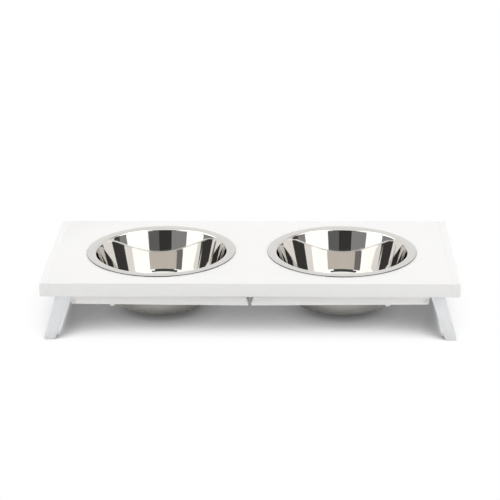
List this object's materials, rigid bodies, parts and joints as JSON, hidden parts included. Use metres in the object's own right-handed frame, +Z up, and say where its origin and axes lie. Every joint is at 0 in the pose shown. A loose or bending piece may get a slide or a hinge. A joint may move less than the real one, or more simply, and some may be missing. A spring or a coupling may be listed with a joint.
{
  "type": "pet feeder stand",
  "caption": "Low white pet feeder stand: a board holding lift-out steel bowls on short splayed legs, with longer legs folded under it that swing out to raise it.",
  "frame": {"origin": "on the floor under the middle of the board", "axes": "+X along the board to the right seen from the front, +Y from the front to the rear, +Z up"},
  "size_m": [0.56, 0.257, 0.0844],
  "materials": {
    "white_lacquer": "white satin lacquer",
    "polished_steel": "mirror polished stainless steel",
    "satin_silver": "satin silver casting",
    "zinc_steel": "zinc plated",
    "grey_rubber": "matt light grey",
    "white_rubber": "matt white",
    "beech": "bare turned beech"
  },
  "bodies": {
    "stand": {"top_board": "white_lacquer", "left_end_board": "white_lacquer", "left_end_board_dowels": "beech", "front_left_short_leg": "satin_silver", "front_left_foot_pad": "grey_rubber", "front_left_leg_screws": "zinc_steel", "front_left_pivot_bolt": "zinc_steel", "front_left_pivot_washer": "zinc_steel", "front_left_pivot_nut": "zinc_steel", "rear_left_short_leg": "satin_silver", "rear_left_foot_pad": "grey_rubber", "rear_left_leg_screws": "zinc_steel", "rear_left_pivot_bolt": "zinc_steel", "rear_left_pivot_washer": "zinc_steel", "rear_left_pivot_nut": "zinc_steel", "right_end_board": "white_lacquer", "right_end_board_dowels": "beech", "front_right_short_leg": "satin_silver", "front_right_foot_pad": "grey_rubber", "front_right_leg_screws": "zinc_steel", "front_right_pivot_bolt": "zinc_steel", "front_right_pivot_washer": "zinc_steel", "front_right_pivot_nut": "zinc_steel", "rear_right_short_leg": "satin_silver", "rear_right_foot_pad": "grey_rubber", "rear_right_leg_screws": "zinc_steel", "rear_right_pivot_bolt": "zinc_steel", "rear_right_pivot_washer": "zinc_steel", "rear_right_pivot_nut": "zinc_steel"},
    "left_bowl": {"left_bowl": "polished_steel"},
    "left_long_legs": {"left_long_leg_rail": "white_lacquer", "left_rail_dowels": "beech", "front_left_long_leg": "white_lacquer", "front_left_long_leg_pad": "grey_rubber", "front_left_stop_bumper": "white_rubber", "rear_left_long_leg": "white_lacquer", "rear_left_long_leg_pad": "grey_rubber", "rear_left_stop_bumper": "white_rubber"},
    "right_bowl": {"right_bowl": "polished_steel"},
    "right_long_legs": {"right_long_leg_rail": "white_lacquer", "right_rail_dowels": "beech", "front_right_long_leg": "white_lacquer", "front_right_long_leg_pad": "grey_rubber", "front_right_stop_bumper": "white_rubber", "rear_right_long_leg": "white_lacquer", "rear_right_long_leg_pad": "grey_rubber", "rear_right_stop_bumper": "white_rubber"}
  },
  "joints": [
    {"name": "left_bowl_lift", "type": "slide", "parent": "stand", "child": "left_bowl", "axis": [0, 0, 1], "range_m": [0, 0.1]},
    {"name": "left_leg_fold", "type": "hinge", "parent": "stand", "child": "left_long_legs", "pos_m": [-0.236, 0, 0.0553], "axis": [0, 1, 0], "range_deg": [0, 106.7]},
    {"name": "right_bowl_lift", "type": "slide", "parent": "stand", "child": "right_bowl", "axis": [0, 0, 1], "range_m": [0, 0.1]},
    {"name": "right_leg_fold", "type": "hinge", "parent": "stand", "child": "right_long_legs", "pos_m": [0.236, 0, 0.0553], "axis": [0, -1, 0], "range_deg": [0, 106.7]}
  ]
}
